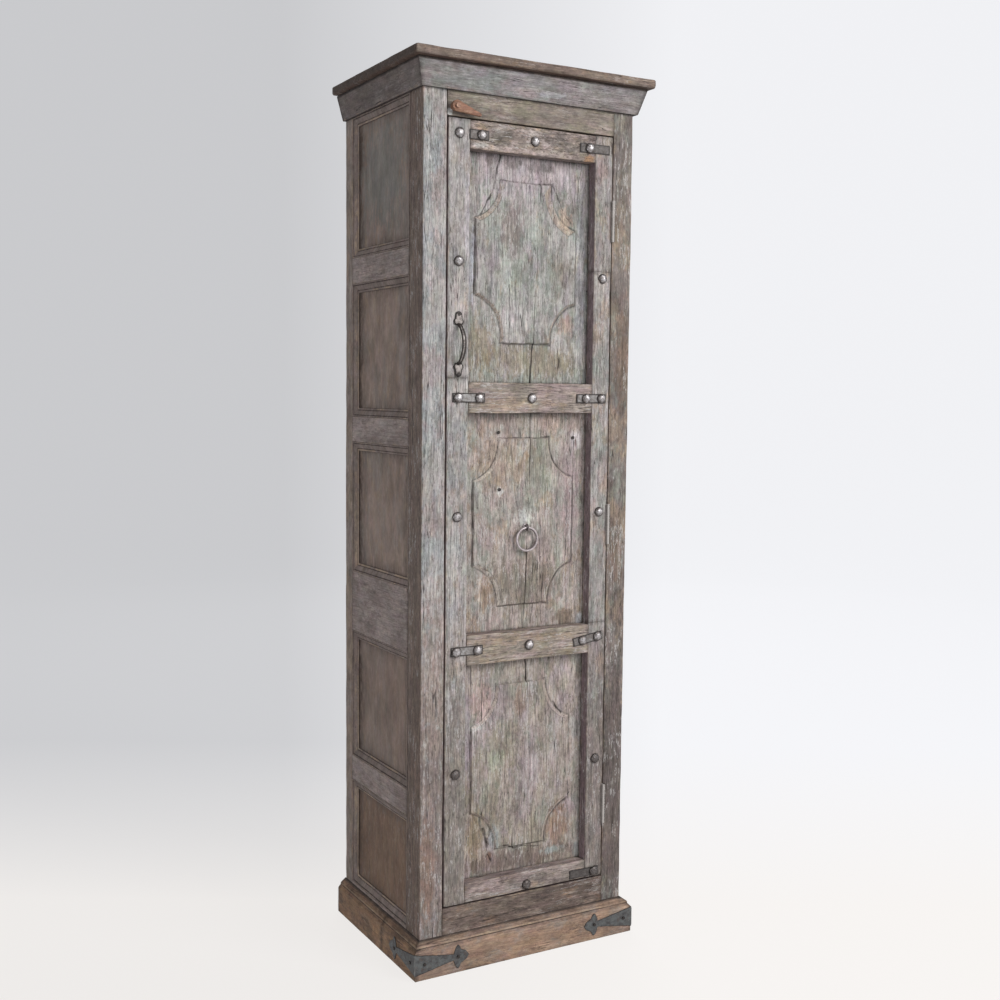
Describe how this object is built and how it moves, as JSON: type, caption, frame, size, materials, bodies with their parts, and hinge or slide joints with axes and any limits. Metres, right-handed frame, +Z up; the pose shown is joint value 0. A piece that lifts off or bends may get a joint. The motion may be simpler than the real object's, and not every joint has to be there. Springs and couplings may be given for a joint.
{
  "type": "storage cabinet",
  "caption": "Tall narrow storage cabinet of weathered painted boards, with a panelled door on butt hinges, an iron pull handle and ring, a turn button, shelves, and straps on the plinth.",
  "frame": {"origin": "on the floor, at the middle of the cabinet's bounding box", "axes": "+Z is up, -Y is the side that the door faces, +X is to the right of a person who faces the door"},
  "size_m": [0.575, 0.435, 1.9],
  "materials": {
    "door_paint": "weathered matt paint",
    "case_paint": "weathered matt paint",
    "side_paint": "worn matt paint",
    "crown_wood": "worn and waxed",
    "plinth_wood": "worn and waxed",
    "back_wood": "rough sawn",
    "inside_wood": "planed, unpainted",
    "zinc_iron": "dull zinc with scuffs",
    "corner_iron": "blue grey, worn at the edges",
    "black_iron": "dark oxide",
    "button_wood": "worn red brown paint"
  },
  "bodies": {
    "case": {"post_front_left": "case_paint", "post_front_right": "case_paint", "post_back_left": "side_paint", "post_back_right": "side_paint", "case_head_rail": "case_paint", "case_sill_rail": "case_paint", "side_rails_left": "side_paint", "side_rails_right": "side_paint", "side_panels_left": "side_paint", "side_panels_right": "side_paint", "side_mouldings_left": "side_paint", "side_mouldings_right": "side_paint", "back_rails": "back_wood", "back_board_left": "back_wood", "back_board_middle": "back_wood", "back_board_right": "back_wood", "crown_board": "crown_wood", "cornice_front": "case_paint", "cornice_left": "side_paint", "cornice_right": "side_paint", "bottom_board": "inside_wood", "shelf_lower": "inside_wood", "shelf_middle": "inside_wood", "shelf_upper": "inside_wood", "shelf_bearers_left": "inside_wood", "shelf_bearers_right": "inside_wood", "plinth_front": "plinth_wood", "plinth_left_front": "plinth_wood", "plinth_left_back": "plinth_wood", "plinth_right": "plinth_wood", "corner_strap_left": "corner_iron", "corner_strap_right": "corner_iron", "corner_strap_nails": "corner_iron", "hinge_case_leaves": "black_iron", "hinge_pins": "black_iron", "hinge_case_screws": "black_iron", "turn_button_block": "button_wood", "turn_button_screw": "black_iron"},
    "door": {"door_stile_latch": "door_paint", "door_stile_hinge": "door_paint", "door_rail_top": "door_paint", "door_rail_upper": "door_paint", "door_rail_lower": "door_paint", "door_rail_bottom": "door_paint", "panel_top_left": "door_paint", "panel_top_right": "door_paint", "panel_middle_left": "door_paint", "panel_middle_right": "door_paint", "panel_bottom_left": "door_paint", "panel_bottom_right": "door_paint", "door_straps": "zinc_iron", "door_nails": "zinc_iron", "door_handle": "black_iron", "handle_nails": "black_iron", "ring_eye": "black_iron", "panel_old_nails": "black_iron", "hinge_door_leaves": "black_iron", "hinge_door_screws": "black_iron"},
    "ring": {"pull_ring": "black_iron"},
    "button": {"turn_button": "button_wood"}
  },
  "joints": [
    {"name": "door_swing", "type": "hinge", "parent": "case", "child": "door", "pos_m": [0.20275, -0.1846, 0.957], "axis": [0, 0, 1], "range_deg": [0, 170]},
    {"name": "ring_swing", "type": "hinge", "parent": "door", "child": "ring", "pos_m": [0.00403, -0.1685, 0.93628], "axis": [-1, 0, 0], "range_deg": [-4, 175]},
    {"name": "button_turn", "type": "hinge", "parent": "case", "child": "button", "pos_m": [-0.1845, -0.1927, 1.7952], "axis": [0, 1, 0], "range_deg": [-37, 185]}
  ]
}
